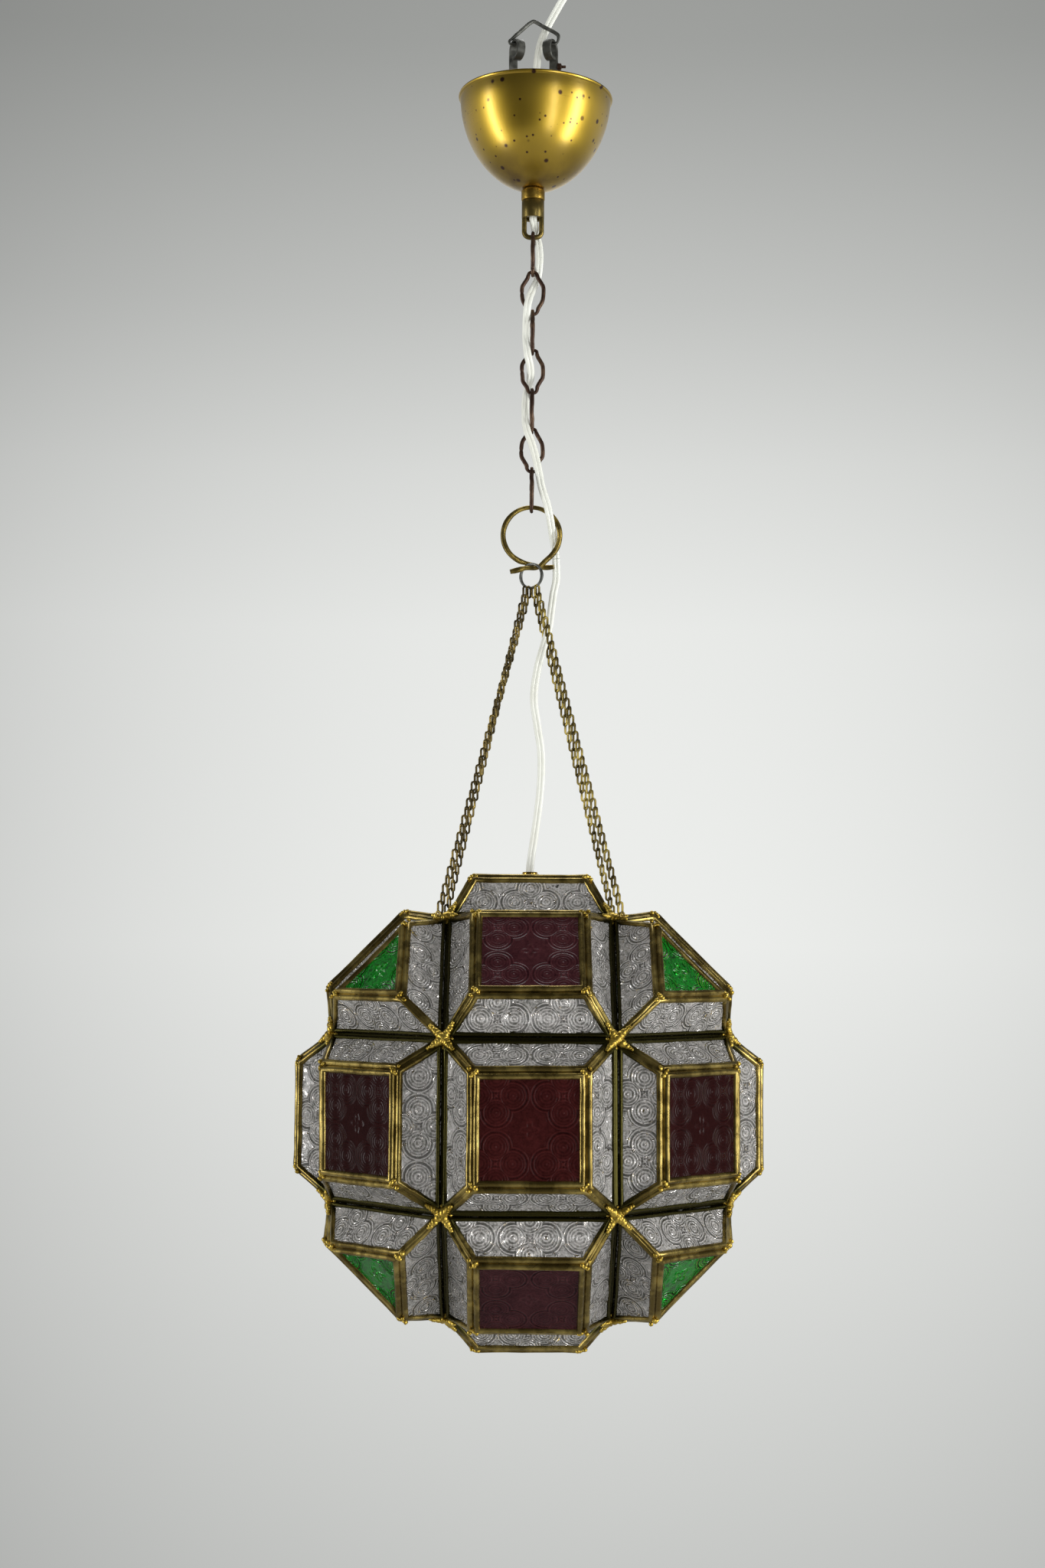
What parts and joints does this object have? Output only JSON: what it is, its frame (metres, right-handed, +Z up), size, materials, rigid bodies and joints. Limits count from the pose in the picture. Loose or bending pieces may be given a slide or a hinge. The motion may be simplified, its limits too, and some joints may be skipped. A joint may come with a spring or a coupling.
{
  "type": "pendant lantern",
  "caption": "Glass and brass pendant lantern with raised panes, hung by fine chains, a ring and a link chain from a ceiling cup, with a threaded cord, lampholder and rear door.",
  "frame": {"origin": "where the ceiling hook touches the bail from below its apex", "axes": "+Z up along the hanging line, front of the lantern towards -Y, +X to the right in the picture"},
  "size_m": [0.3, 0.3, 0.935],
  "materials": {
    "aged_brass": "aged",
    "bright_brass": "polished",
    "spun_brass": "brushed",
    "dark_bronze": "dark patina",
    "grey_steel": "dull",
    "white_vinyl": "smooth",
    "black_resin": "smooth",
    "white_ceramic": "glazed",
    "maroon_glass": "pressed",
    "purple_glass": "pressed",
    "green_glass": "pressed",
    "clear_glass": "pressed"
  },
  "bodies": {
    "bail": {"ceiling_bail": "grey_steel", "terminal_block": "white_ceramic"},
    "cup": {"hanger_fork": "grey_steel", "cup_tube": "aged_brass", "cup_nut": "grey_steel", "ceiling_cup": "spun_brass", "cup_collar": "bright_brass", "hang_loop": "dark_bronze", "supply_cord": "white_vinyl", "chain_cord": "white_vinyl"},
    "link_1": {"chain_link_1": "dark_bronze"},
    "link_2": {"chain_link_2": "dark_bronze"},
    "link_3": {"chain_link_3": "dark_bronze"},
    "link_4": {"chain_link_4": "dark_bronze"},
    "link_5": {"chain_link_5": "dark_bronze"},
    "link_6": {"chain_link_6": "dark_bronze"},
    "link_7": {"chain_link_7": "dark_bronze"},
    "ring": {"chain_ring": "aged_brass"},
    "lantern": {"small_ring": "grey_steel", "fine_chain_front_left": "aged_brass", "fine_chain_front_right": "aged_brass", "fine_chain_back_left": "aged_brass", "fine_chain_back_right": "aged_brass", "lantern_cord": "white_vinyl", "cord_bushing": "bright_brass", "lampholder_cap": "bright_brass", "lampholder_shell": "black_resin", "lantern_cage": "aged_brass", "door_hinge_pin": "bright_brass", "pane_top": "maroon_glass", "pane_bottom": "maroon_glass", "pane_front": "maroon_glass", "pane_left": "maroon_glass", "pane_right": "maroon_glass", "pane_front_left": "maroon_glass", "pane_front_right": "maroon_glass", "pane_back_left": "maroon_glass", "pane_back_right": "maroon_glass", "pane_upper_front": "purple_glass", "pane_upper_back": "purple_glass", "pane_upper_left": "purple_glass", "pane_upper_right": "purple_glass", "pane_upper_front_left": "green_glass", "pane_upper_front_right": "green_glass", "pane_upper_back_left": "green_glass", "pane_upper_back_right": "green_glass", "pane_lower_front": "purple_glass", "pane_lower_back": "purple_glass", "pane_lower_left": "purple_glass", "pane_lower_right": "purple_glass", "pane_lower_front_left": "green_glass", "pane_lower_front_right": "green_glass", "pane_lower_back_left": "green_glass", "pane_lower_back_right": "green_glass", "clear_glass_upper": "clear_glass", "clear_glass_middle": "clear_glass", "clear_glass_lower": "clear_glass"},
    "door": {"door_frame": "aged_brass", "pane_back": "maroon_glass", "clear_glass_door": "clear_glass"}
  },
  "joints": [
    {"name": "bail_swing", "type": "hinge", "parent": "bail", "child": "cup", "pos_m": [0, 0, -0.015], "axis": [1, 0, 0], "range_deg": [-30, 30], "deforming": ["supply_cord"]},
    {"name": "link_1_swing", "type": "hinge", "parent": "cup", "child": "link_1", "pos_m": [0, 0, -0.1494], "axis": [-1, 0, 0], "range_deg": [-40, 40], "deforming": ["chain_cord"]},
    {"name": "link_2_swing", "type": "hinge", "parent": "link_1", "child": "link_2", "pos_m": [0, 0, -0.1757], "axis": [0, 1, 0], "range_deg": [-40, 40], "deforming": ["chain_cord"]},
    {"name": "link_3_swing", "type": "hinge", "parent": "link_2", "child": "link_3", "pos_m": [0, 0, -0.2026], "axis": [1, 0, 0], "range_deg": [-40, 40], "deforming": ["chain_cord"]},
    {"name": "link_4_swing", "type": "hinge", "parent": "link_3", "child": "link_4", "pos_m": [0, 0, -0.2295], "axis": [0, -1, 0], "range_deg": [-40, 40], "deforming": ["chain_cord"]},
    {"name": "link_5_swing", "type": "hinge", "parent": "link_4", "child": "link_5", "pos_m": [0, 0, -0.2564], "axis": [-1, 0, 0], "range_deg": [-40, 40], "deforming": ["chain_cord"]},
    {"name": "link_6_swing", "type": "hinge", "parent": "link_5", "child": "link_6", "pos_m": [0, 0, -0.2833], "axis": [0, 1, 0], "range_deg": [-40, 40], "deforming": ["chain_cord"]},
    {"name": "link_7_swing", "type": "hinge", "parent": "link_6", "child": "link_7", "pos_m": [0, 0, -0.3102], "axis": [1, 0, 0], "range_deg": [-40, 40], "deforming": ["chain_cord"]},
    {"name": "ring_swing", "type": "hinge", "parent": "link_7", "child": "ring", "pos_m": [0, 0, -0.3371], "axis": [0, -1, 0], "range_deg": [-35, 35], "deforming": ["chain_cord"]},
    {"name": "lantern_swing", "type": "hinge", "parent": "ring", "child": "lantern", "pos_m": [0, 0, -0.3752], "axis": [-1, 0, 0], "range_deg": [-25, 25], "deforming": ["lantern_cord"]},
    {"name": "door_hinge", "type": "hinge", "parent": "lantern", "child": "door", "pos_m": [-0.05381, 0.1299, -0.73605], "axis": [0, 0, 1], "range_deg": [0, 110]}
  ]
}
